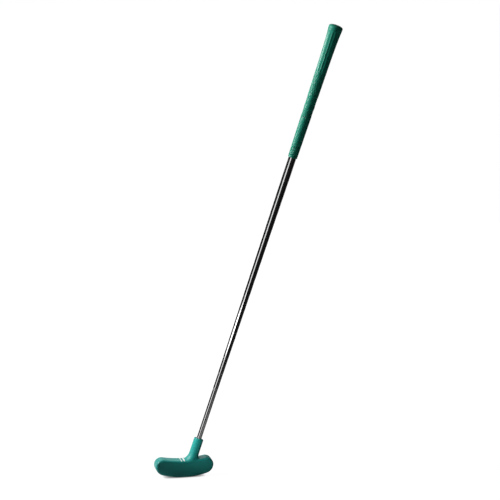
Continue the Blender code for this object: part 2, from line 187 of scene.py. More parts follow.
def to_shaft(points):
    """World points in the shaft's axes: across it in the lean's plane, across the faces, along it."""
    x, y, z = points[..., 0] - SHAFT_FOOT_X, points[..., 1], points[..., 2]
    cos, sin = math.cos(SHAFT_LEAN), math.sin(SHAFT_LEAN)
    return np.stack([x * cos - z * sin, y, x * sin + z * cos], axis=-1)


def to_world(points):
    """Points given in the shaft's own axes, in the world's."""
    x, y, along = points[..., 0], points[..., 1], points[..., 2]
    cos, sin = math.cos(SHAFT_LEAN), math.sin(SHAFT_LEAN)
    return np.stack([SHAFT_FOOT_X + x * cos + along * sin, y, along * cos - x * sin], axis=-1)


def smooth_share(value, start, end):
    """0 at start and 1 at end, eased at both, and held beyond them."""
    share = np.clip((value - start) / (end - start), 0, 1)
    return share**2 * (3 - 2 * share)


# The head's form, as distances from its surface that are negative inside

def bean_circles():
    """The circles of the head's heel half as (x, z, radius): sole, low end, high end and top."""
    sole_z = math.sqrt(SOLE_RADIUS**2 - (SOLE_FLAT / 2) ** 2)
    low_x = HEAD_LENGTH / 2 - END_LOW_RADIUS
    end_z = sole_z - math.sqrt((SOLE_RADIUS - END_LOW_RADIUS) ** 2 - low_x**2)
    high_x = HEAD_LENGTH / 2 - END_HIGH_RADIUS
    drop = WAIST_HEIGHT - end_z
    top_radius = (high_x**2 + drop**2 - END_HIGH_RADIUS**2) / (2 * (END_HIGH_RADIUS - drop))
    return (
        (0, sole_z, SOLE_RADIUS),
        (low_x, end_z, END_LOW_RADIUS),
        (high_x, end_z, END_HIGH_RADIUS),
        (0, WAIST_HEIGHT + top_radius, top_radius),
    )


def outline_distance(x, z):
    """Distance from the head's front outline, taken from the nearest of the arcs that face the point."""
    sole, low, high, top = bean_circles()
    sole_turn = math.atan2(low[1] - sole[1], low[0] - sole[0])
    top_turn = math.atan2(top[1] - high[1], top[0] - high[0])
    sectors = (
        (sole, -math.pi / 2, sole_turn, 1),
        (low, sole_turn, 0, 1),
        (high, 0, top_turn, 1),
        (top, top_turn - math.pi, -math.pi / 2, -1),
    )
    x = np.abs(x)
    nearest = np.full(x.shape, np.inf)
    slack = 1e-9
    for (centre_x, centre_z, radius), start, end, outward in sectors:
        turn = np.arctan2(z - centre_z, x - centre_x)
        distance = outward * (np.hypot(x - centre_x, z - centre_z) - radius)
        faced = (turn >= min(start, end) - slack) & (turn <= max(start, end) + slack)
        nearest = np.where(faced & (np.abs(distance) < np.abs(nearest)), distance, nearest)
    return np.maximum(nearest, -z)


def rounded(first, second, radius):
    """Where two forms overlap, with the edge between their surfaces rounded."""
    first, second = first + radius, second + radius
    outer = np.hypot(np.maximum(first, 0), np.maximum(second, 0))
    return outer + np.minimum(np.maximum(first, second), 0) - radius


def body_distance(points, inset=0.0):
    """The head's body: its outline carried from face to face, with rounded edges."""
    flat = outline_distance(points[..., 0], points[..., 2]) + inset
    edge = max(EDGE_RADIUS - inset, CORE_EDGE_RADIUS)
    return rounded(flat, np.abs(points[..., 1]) - HEAD_THICKNESS / 2 + inset, edge)


def fillet_start():
    """Where the toe side's fillet leaves the neck's wall, so that it runs into the head's top."""
    top_x, top_z, top_radius = bean_circles()[-1]
    axis = Vector((math.sin(SHAFT_LEAN), math.cos(SHAFT_LEAN)))
    toeward = Vector((-axis.y, axis.x))
    to_top = Vector((top_x - SHAFT_FOOT_X, top_z))
    across = to_top.dot(toeward) - (NECK_RADIUS + TOE_FILLET)
    return to_top.dot(axis) - math.sqrt((top_radius - TOE_FILLET) ** 2 - across**2)


def toe_reach(along):
    """The neck's half depth on its toe side: its wall, then a fillet, then straight down."""
    into = np.clip(fillet_start() - along, 0, TOE_FILLET * math.sin(TOE_FILLET_END))
    return NECK_RADIUS + TOE_FILLET - np.sqrt(TOE_FILLET**2 - into**2)


def neck_distance(points):
    """The neck: round high up, longer and squarer at its root, and rounded at its rim."""
    local = to_shaft(points)
    x, y, along = local[..., 0], local[..., 1], local[..., 2]
    widening = HEAD_THICKNESS / 2 - SPREAD_SHORT_OF_FACE - NECK_RADIUS
    half_width = NECK_RADIUS + widening * smooth_share(along, SPREAD_TOP, SPREAD_BOTTOM)
    power = 2 + (ROOT_SQUARENESS - 2) * (half_width - NECK_RADIUS) / widening
    reach = np.where(x > 0, NECK_RADIUS, toe_reach(along))
    size = ((np.abs(x) / reach) ** power + (np.abs(y) / half_width) ** power) ** (1 / power)
    wall = np.hypot(x, y) * (1 - 1 / np.maximum(size, 1e-6))
    # Close to the axis that quotient means little, and the wall is about a radius away
    wall = np.where(size < 0.3, -NECK_RADIUS, wall)
    return np.maximum(rounded(wall, along - NECK_TOP, NECK_RIM_RADIUS), NECK_ROOT - along)


def slope_of(distance, points):
    """The gradient of a distance at each point."""
    reach = 0.05 * MM
    sides = []
    for axis in np.eye(3) * reach:
        sides.append((distance(points + axis) - distance(points - axis)) / (2 * reach))
    return np.stack(sides, axis=-1)


def head_distance(points):
    """The body and the neck run together: the more their surfaces turn from each other, the rounder."""
    body, neck = body_distance(points), neck_distance(points)
    body_slope, neck_slope = slope_of(body_distance, points), slope_of(neck_distance, points)
    body_steepness = np.linalg.norm(body_slope, axis=-1)
    neck_steepness = np.maximum(np.linalg.norm(neck_slope, axis=-1), 0.5)
    neck = neck / neck_steepness
    alike = (body_slope * neck_slope).sum(axis=-1) / np.maximum(body_steepness * neck_steepness, 1e-9)
    whole = smooth_share(to_shaft(points)[..., 2], *ROOT_BLEND_FADE)
    blend = ROOT_BLEND * np.clip(1 - alike, 0, 1) * whole + 1e-7
    share = np.clip(0.5 + 0.5 * (neck - body) / blend, 0, 1)
    return neck * (1 - share) + body * share - blend * share * (1 - share)


# Meshes

def add_mesh(name, points, faces, material, sharp=math.radians(40)):
    """A smoothly shaded object with its mesh in the world's axes, sharp where its faces turn a lot."""
    mesh = bpy.data.meshes.new(name)
    mesh.from_pydata(points, [], faces)
    mesh.update()
    mesh.shade_smooth()
    mesh.set_sharp_from_angle(angle=sharp)
    made = bpy.data.objects.new(name, mesh)
    bpy.context.collection.objects.link(made)
    if material:
        mesh.materials.append(material)
    return made


def contour(distance, low, high, pitch):
    """A closed mesh of quads near a form's surface, with one point in each grid cell that it crosses."""
    axes = [np.arange(start, end + pitch, pitch) for start, end in zip(low, high)]
    grid = np.stack(np.meshgrid(*axes, indexing="ij"), axis=-1)
    inside = distance(grid) < 0
    rows, columns, layers = (size - 1 for size in inside.shape)
    counts = sum(
        inside[i : i + rows, j : j + columns, k : k + layers].astype(int)
        for i in (0, 1) for j in (0, 1) for k in (0, 1)
    )
    crossed = (counts > 0) & (counts < 8)
    numbers = np.full(crossed.shape, -1)
    numbers[crossed] = np.arange(crossed.sum())
    points = grid[:-1, :-1, :-1][crossed] + pitch / 2
    faces = []
    for axis in range(3):
        first, second = (axis + 1) % 3, (axis + 2) % 3
        leaves = np.take(inside, range(inside.shape[axis] - 1), axis)
        enters = np.take(inside, range(1, inside.shape[axis]), axis)
        for edges, order in ((leaves & ~enters, 1), (~leaves & enters, -1)):
            crossings = np.argwhere(edges)
            corners = []
            for back_first, back_second in ((1, 1), (0, 1), (0, 0), (1, 0))[::order]:
                cell = crossings.copy()
                cell[:, first] -= back_first
                cell[:, second] -= back_second
                corners.append(numbers[tuple(cell.T)])
            faces.append(np.stack(corners, axis=-1))
    return points, np.concatenate(faces)


def settle(distance, points, faces, rounds=6):
    """Evens out a mesh's points and sets them on the form's surface."""
    edges = np.concatenate([faces[:, [i, (i + 1) % 4]] for i in range(4)])
    edges = np.concatenate([edges, edges[:, ::-1]])
    neighbours = np.bincount(edges[:, 0], minlength=len(points))
    for pull in [0.5] * rounds + [0, 0]:
        if pull:
            sums = [np.bincount(edges[:, 0], points[edges[:, 1], i], len(points)) for i in range(3)]
            points = points + pull * (np.stack(sums, axis=-1) / neighbours[:, None] - points)
        slope = slope_of(distance, points)
        steepness = np.maximum((slope**2).sum(axis=-1), 0.1)
        points = points - (distance(points) / steepness)[:, None] * slope
    return points


def turned(name, profile, sides, material, sharp=math.radians(30)):
    """A closed profile of (radius, distance along the shaft), carried round the shaft."""
    profile = np.array(profile)
    return wrapped(name, np.repeat(profile[:, :1], sides, axis=1), profile[:, 1], material, sharp)


def wrapped(name, radii, alongs, material, sharp=math.radians(40)):
    """Rings round the shaft, each joined to the next and the last one to the first."""
    rows, sides = radii.shape
    turns = np.arange(sides) * 2 * math.pi / sides
    alongs = np.repeat(np.asarray(alongs)[:, None], sides, axis=1)
    points = np.stack([radii * np.cos(turns), radii * np.sin(turns), alongs], axis=-1).reshape(-1, 3)
    row, side = np.meshgrid(np.arange(rows), np.arange(sides), indexing="ij")
    next_row, next_side = (row + 1) % rows, (side + 1) % sides
    corners = (
        row * sides + side,
        row * sides + next_side,
        next_row * sides + next_side,
        next_row * sides + side,
    )
    faces = np.stack(corners, axis=-1).reshape(-1, 4)
    return add_mesh(name, to_world(points), faces, material, sharp)


def layered(name, over, under, material):
    """A closed block between two sheets of points, one over the other."""
    rows, columns = over.shape[:2]
    count = rows * columns
    number = np.arange(count).reshape(rows, columns)
    quads = np.stack([number[:-1, :-1], number[1:, :-1], number[1:, 1:], number[:-1, 1:]], axis=-1)
    quads = quads.reshape(-1, 4)
    faces = [*quads, *(quads[:, [0, 3, 2, 1]] + count)]
    around = [*number[0], *number[1:, -1], *number[-1, -2::-1], *number[-2:0:-1, 0]]
    for a, b in zip(around, around[1:] + around[:1]):
        faces.append([a, b, b + count, a + count])
    return add_mesh(name, np.concatenate([over.reshape(-1, 3), under.reshape(-1, 3)]), faces, material)


def cut(piece, tool):
    """Takes a tool's form out of a piece for good, and removes the tool."""
    change = piece.modifiers.new("cut", "BOOLEAN")
    change.operation = "DIFFERENCE"
    change.solver = "EXACT"
    change.object = tool
    shape = bpy.data.meshes.new_from_object(piece.evaluated_get(bpy.context.evaluated_depsgraph_get()))
    piece.modifiers.clear()
    piece.data = shape
    bpy.data.objects.remove(tool, do_unlink=True)


def place(piece, slot, *nodes):
    """A piece that stands for CAD nodes, which it hides. The slot is not used."""
    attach(piece, "root")
    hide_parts(*nodes)


# Materials

def new_material(name):
    """A node material, its tree, and the shader in it."""
    made = bpy.data.materials.new(name)
    made.use_nodes = True
    tree = made.node_tree
    return made, tree, tree.nodes["Principled BSDF"]


def coordinates(tree, along_shaft=False):
    """Points in the object's axes, or in the shaft's."""
    source = tree.nodes.new("ShaderNodeTexCoord").outputs["Object"]
    if not along_shaft:
        return source
    turn = tree.nodes.new("ShaderNodeMapping")
    turn.vector_type = "TEXTURE"
    turn.inputs["Location"].default_value = (SHAFT_FOOT_X, 0, 0)
    turn.inputs["Rotation"].default_value = (0, SHAFT_LEAN, 0)
    tree.links.new(source, turn.inputs["Vector"])
    return turn.outputs["Vector"]


def distance_from_head(tree):
    """Distance from the middle of the sole."""
    made = tree.nodes.new("ShaderNodeVectorMath")
    made.operation = "LENGTH"
    tree.links.new(coordinates(tree), made.inputs[0])
    return made.outputs["Value"]


def noise(tree, where, scale, detail=3.0, rough=0.55, stretch=None):
    """Smooth noise between 0 and 1, whose grains are about one over the scale."""
    if stretch:
        squeeze = tree.nodes.new("ShaderNodeMapping")
        squeeze.inputs["Scale"].default_value = stretch
        tree.links.new(where, squeeze.inputs["Vector"])
        where = squeeze.outputs["Vector"]
    made = tree.nodes.new("ShaderNodeTexNoise")
    made.inputs["Scale"].default_value = scale
    made.inputs["Detail"].default_value = detail
    made.inputs["Roughness"].default_value = rough
    tree.links.new(where, made.inputs["Vector"])
    return made.outputs["Fac"]


def spread(tree, value, low, high, start=0.3, end=0.7):
    """A value between start and end, carried to between low and high."""
    made = tree.nodes.new("ShaderNodeMapRange")
    made.inputs["From Min"].default_value = start
    made.inputs["From Max"].default_value = end
    made.inputs["To Min"].default_value = low
    made.inputs["To Max"].default_value = high
    tree.links.new(value, made.inputs["Value"])
    return made.outputs["Result"]


def calculate(tree, operation, first, second=None):
    """One sum, of one or two sockets."""
    made = tree.nodes.new("ShaderNodeMath")
    made.operation = operation
    tree.links.new(first, made.inputs[0])
    if second is not None:
        tree.links.new(second, made.inputs[1])
    return made.outputs["Value"]


def blended(tree, share, first, second):
    """A colour between two others."""
    made = tree.nodes.new("ShaderNodeMix")
    made.data_type = "RGBA"
    for socket, value in ((made.inputs[0], share), (made.inputs[6], first), (made.inputs[7], second)):
        if isinstance(value, tuple):
            socket.default_value = (*value, 1)
        else:
            tree.links.new(value, socket)
    return made.outputs[2]


def raise_bump(tree, shader, height, distance, strength, under=None):
    """A bump whose height in metres is its value times the distance. It adds to the bump under it."""
    made = tree.nodes.new("ShaderNodeBump")
    made.inputs["Distance"].default_value = distance
    made.inputs["Strength"].default_value = strength
    tree.links.new(height, made.inputs["Height"])
    if under:
        tree.links.new(under, made.inputs["Normal"])
    tree.links.new(made.outputs["Normal"], shader.inputs["Normal"])
    return made.outputs["Normal"]


def scaled(colour, amount, added=0.0):
    """A colour with each channel multiplied, then raised."""
    return tuple(channel * amount + added for channel in colour)


def rubber(name, colour, roughness, shine, along_shaft=False, parting=False):
    """Moulded rubber: uneven in colour, with a fine skin, and duller and paler where scuffed."""
    made, tree, shader = new_material(name)
    where = coordinates(tree, along_shaft)
    broad = noise(tree, where, scale=45, detail=2)
    fine = noise(tree, where, scale=900, detail=4, rough=0.6)
    scuffs = noise(tree, where, scale=160, detail=5, rough=0.7)
    base = blended(tree, spread(tree, broad, 0, 1), scaled(colour, 0.95), scaled(colour, 1.05))
    base = blended(tree, spread(tree, fine, 0, 1), base, scaled(colour, 1.05, 0.001))
    rubbed = spread(tree, scuffs, 0, 0.22, start=0.55, end=0.8)
    base = blended(tree, rubbed, base, scaled(colour, 1.1, 0.012))
    tree.links.new(base, shader.inputs["Base Color"])
    shader.inputs["Specular IOR Level"].default_value = shine
    dull = calculate(tree, "ADD", spread(tree, broad, roughness - 0.03, roughness + 0.03), rubbed)
    tree.links.new(dull, shader.inputs["Roughness"])
    skin = noise(tree, where, scale=1400, detail=3, rough=0.6)
    under = raise_bump(tree, shader, skin, distance=0.03 * MM, strength=0.6)
    swell = noise(tree, where, scale=220, detail=2)
    under = raise_bump(tree, shader, swell, distance=0.12 * MM, strength=0.35, under=under)
    if parting:
        parts = tree.nodes.new("ShaderNodeSeparateXYZ")
        tree.links.new(where, parts.inputs["Vector"])
        off = calculate(tree, "ABSOLUTE", parts.outputs["Y"])
        seam = spread(tree, off, 1, 0, start=0, end=0.25 * MM)
        raise_bump(tree, shader, seam, distance=0.1 * MM, strength=0.6, under=under)
    return made


def chrome():
    """Chrome plate, with the faint haze and length-wise wipe marks of a handled shaft."""
    made, tree, shader = new_material("shaft chrome")
    where = coordinates(tree, along_shaft=True)
    wiped = noise(tree, where, scale=1, detail=4, rough=0.6, stretch=(1500, 1500, 18))
    haze = noise(tree, where, scale=60, detail=4, rough=0.6)
    shader.inputs["Metallic"].default_value = 1.0
    base = blended(tree, spread(tree, haze, 0, 1), (0.74, 0.745, 0.755), (0.80, 0.803, 0.81))
    tree.links.new(base, shader.inputs["Base Color"])
    rough = calculate(tree, "ADD", spread(tree, haze, 0.04, 0.07), spread(tree, wiped, 0, 0.03))
    tree.links.new(rough, shader.inputs["Roughness"])
    raise_bump(tree, shader, wiped, distance=0.004 * MM, strength=0.3)
    return made


def paint():
    """White paint that has worn thin in small specks."""
    made, tree, shader = new_material("line paint")
    where = coordinates(tree)
    wear = noise(tree, where, scale=1100, detail=5, rough=0.65)
    worn = spread(tree, wear, 0, 0.5, start=0.62, end=0.82)
    base = blended(tree, worn, (0.92, 0.93, 0.92), (0.62, 0.76, 0.73))
    tree.links.new(base, shader.inputs["Base Color"])
    tree.links.new(spread(tree, wear, 0.38, 0.6), shader.inputs["Roughness"])
    raise_bump(tree, shader, noise(tree, where, scale=900, detail=3), distance=0.03 * MM, strength=0.7)
    return made


def cast_zinc():
    """As-cast zinc alloy: grey, with flow marks and a fine pitted skin."""
    made, tree, shader = new_material("cast zinc")
    where = coordinates(tree)
    flow = noise(tree, where, scale=70, detail=4, rough=0.6, stretch=(1, 1, 2.5))
    shader.inputs["Metallic"].default_value = 1.0
    base = blended(tree, spread(tree, flow, 0, 1), (0.30, 0.305, 0.315), (0.44, 0.445, 0.455))
    tree.links.new(base, shader.inputs["Base Color"])
    tree.links.new(spread(tree, flow, 0.38, 0.58), shader.inputs["Roughness"])
    pits = noise(tree, where, scale=700, detail=4, rough=0.65)
    under = raise_bump(tree, shader, pits, distance=0.08 * MM, strength=0.7)
    raise_bump(tree, shader, flow, distance=0.2 * MM, strength=0.4, under=under)
    return made


def epoxy():
    """Cured glue: amber, cloudy, with a glossy skin."""
    made, tree, shader = new_material("bond epoxy")
    where = coordinates(tree)
    cloud = noise(tree, where, scale=180, detail=4, rough=0.6)
    base = blended(tree, spread(tree, cloud, 0, 1), (0.46, 0.38, 0.20), (0.63, 0.56, 0.38))
    tree.links.new(base, shader.inputs["Base Color"])
    tree.links.new(spread(tree, cloud, 0.15, 0.35), shader.inputs["Roughness"])
    raise_bump(tree, shader, cloud, distance=0.1 * MM, strength=0.5)
    return made


def crepe_tape():
    """Two-sided masking tape: buff paper, crinkled across its length."""
    made, tree, shader = new_material("grip tape")
    where = coordinates(tree, along_shaft=True)
    crinkle = noise(tree, where, scale=1, detail=4, rough=0.6, stretch=(350, 350, 1600))
    fibres = noise(tree, where, scale=500, detail=5, rough=0.7)
    base = blended(tree, spread(tree, fibres, 0, 1), (0.66, 0.57, 0.41), (0.80, 0.73, 0.58))
    tree.links.new(base, shader.inputs["Base Color"])
    tree.links.new(spread(tree, fibres, 0.7, 0.9), shader.inputs["Roughness"])
    raise_bump(tree, shader, crinkle, distance=0.12 * MM, strength=0.8)
    return made


# The pieces

def room_for_core():
    """The space that the cast core's body fills, a little larger than the core."""
    low = (-HEAD_LENGTH / 2, -HEAD_THICKNESS / 2, 0)
    high = (HEAD_LENGTH / 2, HEAD_THICKNESS / 2, CORE_ROOM_CEILING)

    def distance(points):
        return body_distance(points, CORE_ROOM_INSET)

    points, faces = contour(distance, low, high, CORE_ROOM_PITCH)
    return add_mesh("core_room", settle(distance, points, faces, 2), faces, None)


def room_for_post():
    """The round space up the neck: for the core's post, then open to the rim with a rounded edge."""
    edge = [(0, POST_ROOM_LOW), (POST_ROOM_RADIUS, POST_ROOM_LOW), (POST_ROOM_RADIUS, POST_ROOM_HIGH)]
    edge.append((NECK_MOUTH_RADIUS, POST_ROOM_HIGH))
    for turn in np.linspace(0, math.pi / 2, 6):
        out = NECK_MOUTH_EDGE * (1 - math.cos(turn))
        edge.append((NECK_MOUTH_RADIUS + out, NECK_TOP - NECK_MOUTH_EDGE * (1 - math.sin(turn))))
    end = NECK_TOP + POST_ROOM_PAST_RIM
    edge += [(edge[-1][0], end), (0, end)]
    return solid_of_turning("post_room", edge, POST_ROOM_SIDES)


def solid_of_turning(name, edge, sides):
    """A closed solid of turning round the shaft's axis, whose edge starts and ends on that axis."""
    turns = np.arange(sides) * 2 * math.pi / sides
    points = [(0, 0, edge[0][1]), (0, 0, edge[-1][1])]
    for radius, along in edge[1:-1]:
        points += [(radius * math.cos(a), radius * math.sin(a), along) for a in turns]
    faces = []
    rows = len(edge) - 2
    last = 2 + (rows - 1) * sides
    for side in range(sides):
        after = (side + 1) % sides
        faces.append((0, 2 + after, 2 + side))
        faces.append((1, last + side, last + after))
        for row in range(rows - 1):
            low, high = 2 + row * sides, 2 + (row + 1) * sides
            faces.append((low + side, low + after, high + after, high + side))
    return add_mesh(name, to_world(np.array(points)), faces, None)


def top_height(x, y):
    """Height of the head's top surface over points of the ground, found by halving."""
    low, high = (np.full(x.shape, height) for height in HEAD_TOP_RANGE)
    for _ in range(24):
        middle = (low + high) / 2
        inside = head_distance(np.stack([x, y, middle], axis=-1)) < 0
        low, high = np.where(inside, middle, low), np.where(inside, high, middle)
    return (low + high) / 2


def strip(name, x, width, span, over, under, material=None):
    """A strip across the head's top, from one height over its surface to another."""
    across = np.linspace(x - width / 2, x + width / 2, LINE_POINTS[0])
    along = np.linspace(-span / 2, span / 2, LINE_POINTS[1])
    xs, ys = np.meshgrid(across, along, indexing="ij")
    top = np.stack([xs, ys, top_height(xs, ys)], axis=-1)
    return layered(name, top + (0, 0, over), top + (0, 0, under), material)


def make_head(material, line_material):
    """The moulded cover with its rooms and grooves cut out, and the paint in the grooves."""
    low = (-HEAD_LENGTH / 2 - MM, -HEAD_THICKNESS / 2 - MM, -MM)
    high = (HEAD_LENGTH / 2 + MM, HEAD_THICKNESS / 2 + MM, NECK_TOP + 3 * MM)

    def rough_form(points):
        return np.minimum(body_distance(points), neck_distance(points))

    points, faces = contour(rough_form, low, high, HEAD_PITCH)
    points = settle(head_distance, points, faces)
    points[:, 2] = np.maximum(points[:, 2], 0)
    cover = add_mesh("head_cover_moulding", points, faces, material)
    cut(cover, room_for_core())
    cut(cover, room_for_post())
    for x in LINE_PLACES:
        groove = (LINE_GROOVE_WIDTH, LINE_GROOVE_SPAN, LINE_GROOVE_CUT_FROM, -LINE_GROOVE_DEPTH)
        cut(cover, strip("groove", x, *groove))
    cover.data.shade_smooth()
    cover.data.set_sharp_from_angle(angle=math.radians(40))
    place(cover, "head_rubber", "head_cover")
    for number, x in enumerate(LINE_PLACES, 1):
        span = LINE_GROOVE_SPAN - LINE_SHORTER
        heights = (-LINE_SUNK, -LINE_SUNK - LINE_THICKNESS)
        line = strip(f"line_paint_{number}", x, LINE_WIDTH, span, *heights, line_material)
        place(line, "line_paint", f"alignment_line_{number}")


def make_shaft(material):
    """The shaft's outer profile climbs in eased steps, and its bore follows."""
    rise = (SHAFT_BUTT_RADIUS - SHAFT_TIP_RADIUS) / SHAFT_STEPS
    top = CLUB_LENGTH - GRIP_TOP
    across, along = SHAFT_TIP_CHAMFER
    outer = [(SHAFT_TIP_RADIUS - across, SHAFT_BOTTOM), (SHAFT_TIP_RADIUS, SHAFT_BOTTOM + along)]
    for step in range(SHAFT_STEPS):
        for share in np.linspace(0, 1, STEP_POINTS):
            radius = SHAFT_TIP_RADIUS + (step + smooth_share(share, 0, 1)) * rise
            outer.append((radius, FIRST_STEP + step * STEP_PITCH + share * STEP_SLOPE))
    outer.append((SHAFT_BUTT_RADIUS, top))
    last_step = FIRST_STEP + (SHAFT_STEPS - 1) * STEP_PITCH
    bore = [
        (SHAFT_BUTT_RADIUS - SHAFT_WALL, top),
        (SHAFT_BUTT_RADIUS - SHAFT_WALL, last_step + 2 * STEP_SLOPE),
        (SHAFT_TIP_RADIUS - SHAFT_WALL, FIRST_STEP),
        (SHAFT_TIP_RADIUS - SHAFT_WALL, SHAFT_BOTTOM),
    ]
    place(turned("shaft_tube", outer + bore, SHAFT_SIDES, material), "shaft_chrome", "shaft")


def grip_radius(down):
    """The plain grip's radius at a distance down from the edge of the butt: a taper and a flare."""
    taper = (GRIP_SHOULDER_RADIUS - GRIP_MOUTH_RADIUS) * down / GRIP_LENGTH
    return GRIP_SHOULDER_RADIUS - taper + GRIP_FLARE * np.exp(-down / GRIP_FLARE_LENGTH)


def within(value, start, end, fade):
    """1 between start and end, eased to 0 just inside both."""
    return smooth_share(value, start, start + fade) * smooth_share(value, end, end - fade)


def line_cut(phase, width):
    """A narrow rounded groove wherever the phase, in radians, passes a whole number of pi."""
    return np.clip(1 - np.abs(np.sin(phase)) / width, 0, 1) ** 1.5


def crossed_grooves(down, turn, start, end, count, pitch, width, depth, fade):
    """Depth of a pattern of grooves that wind round the grip both ways, between two distances down."""
    climb = math.pi * down / pitch
    lines = line_cut(count * turn + climb, width) + line_cut(count * turn - climb, width)
    return depth * np.minimum(lines, 1) * within(down, start, end, fade)


def grip_relief(down, turn):
    """The moulded tread's depth at a distance down from the butt's edge and a turn round the shaft."""
    round_grip = turn - FLUTE_CREST_TURN
    flutes_end = FLUTES_TO + FLUTE_POINT * (1 - np.abs(np.cos(turn)))
    flutes = FLUTE_DEPTH * np.abs(np.sin(FLUTES / 2 * round_grip)) ** FLUTE_ROUNDNESS
    depth = flutes * within(down, FLUTES_FROM, flutes_end, FLUTE_FADE)

    depth += crossed_grooves(down, round_grip, flutes_end + HATCH_GAP, HATCH_TO, **HATCH_GROOVES)
    for start, grooves in RING_GROUPS:
        in_group = (down >= start) & (down <= start + grooves * RING_PITCH)
        depth += in_group * RING_DEPTH * (0.5 - 0.5 * np.cos(2 * math.pi * (down - start) / RING_PITCH))
    depth += crossed_grooves(down, round_grip, *DOTS, **DOT_GROOVES)
    depth += crossed_grooves(down, round_grip, *LATTICE, **LATTICE_GROOVES)
    depth += crossed_grooves(down, round_grip, *KNURL, **KNURL_GROOVES)

    lip_span = (LIP_GROOVE - LIP_GROOVE_REACH, LIP_GROOVE + LIP_GROOVE_REACH)
    depth += LIP_GROOVE_DEPTH * within(down, *lip_span, LIP_GROOVE_FADE)
    return depth


def grip_rows():
    """Distances down at which the grip has a ring, closer together where its tread is fine."""
    flutes_whole, flutes_fade = FLUTES_FROM + FLUTE_FADE, FLUTES_TO - FLUTE_FADE
    hatch_past = HATCH_TO + HATCH_GROOVES["fade"]
    mouth = GRIP_LENGTH - MOUTH_EDGE
    spans = (  # start, end, and the distance between rings
        (GRIP_TOP + GRIP_TOP_EDGE, flutes_whole, 0.8 * MM),
        (flutes_whole, flutes_fade, 3 * MM),
        (flutes_fade, hatch_past, 0.5 * MM),
        (hatch_past, DOTS[0], 0.31 * MM),
        (DOTS[0], LATTICE[0], 0.3 * MM),
        (LATTICE[0], LATTICE[1], 0.65 * MM),
        (LATTICE[1], mouth, 0.32 * MM),
    )
    rows = []
    for start, end, pitch in spans:
        rows += [*np.linspace(start, end, round((end - start) / pitch) + 1)[:-1]]
    return np.array(rows + [mouth])


def make_grip(material):
    """The grip's sleeve: its tread down the outside, its mouth close round the shaft, and its bore."""
    turns = np.arange(GRIP_SIDES) * 2 * math.pi / GRIP_SIDES
    downs = grip_rows()
    radii = grip_radius(downs)[:, None] - grip_relief(downs[:, None], turns[None, :])
    mouth, opening, top = GRIP_MOUTH_RADIUS, SHAFT_BUTT_RADIUS + MOUTH_CLEARANCE, grip_radius(GRIP_TOP)
    ends = [
        # The rounded edge of the mouth
        (mouth - 0.08 * MM, GRIP_LENGTH - 0.25 * MM),
        (mouth - 0.3 * MM, GRIP_LENGTH - 0.06 * MM),
        (mouth - 0.55 * MM, GRIP_LENGTH),
        # The opening, with a small chamfer
        (opening + 0.15 * MM, GRIP_LENGTH),
        (opening, GRIP_LENGTH - 0.2 * MM),
        (opening, GRIP_LENGTH - 2.2 * MM),
        # The bore, round the tape
        (GRIP_BORE_RADIUS, GRIP_LENGTH - 2.8 * MM),
        (GRIP_BORE_RADIUS, GRIP_TOP),
        # The top, under the cap, and its edge
        (top - 0.5 * MM, GRIP_TOP),
        (top - 0.15 * MM, GRIP_TOP + 0.12 * MM),
    ]
    radii = np.concatenate([radii, np.repeat(np.array(ends)[:, :1], GRIP_SIDES, axis=1)])
    alongs = CLUB_LENGTH - np.concatenate([downs, np.array(ends)[:, 1]])
    place(wrapped("grip_sleeve", radii, alongs, material), "grip_rubber", "grip_body")


def arc(centre, radius, start, end, points=8):
    """Points of a profile along an arc, between two turns in degrees."""
    turns = np.linspace(math.radians(start), math.radians(end), points)
    return [(centre[0] + radius * math.cos(t), centre[1] + radius * math.sin(t)) for t in turns]


def make_cap(material):
    """The cap: a domed end with fine rings round its vent, a side wall, and a bead at its lower edge."""
    spigot_end = -CAP_HEIGHT - CAP_SPIGOT_LENGTH
    across, along = CAP_SPIGOT_CHAMFER
    profile = [
        (VENT_RADIUS, spigot_end),
        (CAP_SPIGOT_RADIUS - across, spigot_end),
        (CAP_SPIGOT_RADIUS, spigot_end + along),
        (CAP_SPIGOT_RADIUS, -CAP_HEIGHT),
    ]
    bead = CAP_BEAD_RADIUS
    profile += arc((CAP_RADIUS - bead, -CAP_HEIGHT + bead), bead, -90, 45)
    out, up = CAP_HOLLOW_CENTRE
    profile += arc((CAP_WALL_RADIUS + out, -CAP_HEIGHT + up), CAP_HOLLOW_RADIUS, 225, 180, 4)

    dome_width = CAP_WALL_RADIUS - CAP_FLAT_RADIUS
    dome = CAP_FLAT_RADIUS + dome_width * np.cos(np.linspace(0, math.pi / 2, CAP_DOME_POINTS))
    flat = np.linspace(CAP_FLAT_RADIUS, VENT_RADIUS + VENT_EDGE, CAP_FLAT_POINTS)
    for radius in [*dome[:-1], *flat[:-1]]:
        share = max(radius - CAP_FLAT_RADIUS, 0) / dome_width
        groove = math.sin(math.pi * (radius - CAP_RINGS[0]) / CAP_RING_PITCH) ** 2
        groove *= CAP_RING_DEPTH * (CAP_RINGS[0] <= radius <= CAP_RINGS[1])
        profile.append((radius, CAP_DOME_RISE * math.sqrt(1 - share**2) - CAP_DOME_START - groove))
    vent_edge = (VENT_RADIUS + VENT_EDGE, CAP_DOME_RISE - CAP_DOME_START - VENT_EDGE)
    profile += arc(vent_edge, VENT_EDGE, 90, 180, 5)

    profile = [(radius, CLUB_LENGTH + height) for radius, height in profile]
    cap = turned("grip_end_cap", profile, CAP_SIDES, material, math.radians(45))
    place(cap, "cap_rubber", "grip_cap")


def dress(node, material):
    """A better material on a CAD node that stays."""
    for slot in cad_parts[node].material_slots:
        slot.material = material


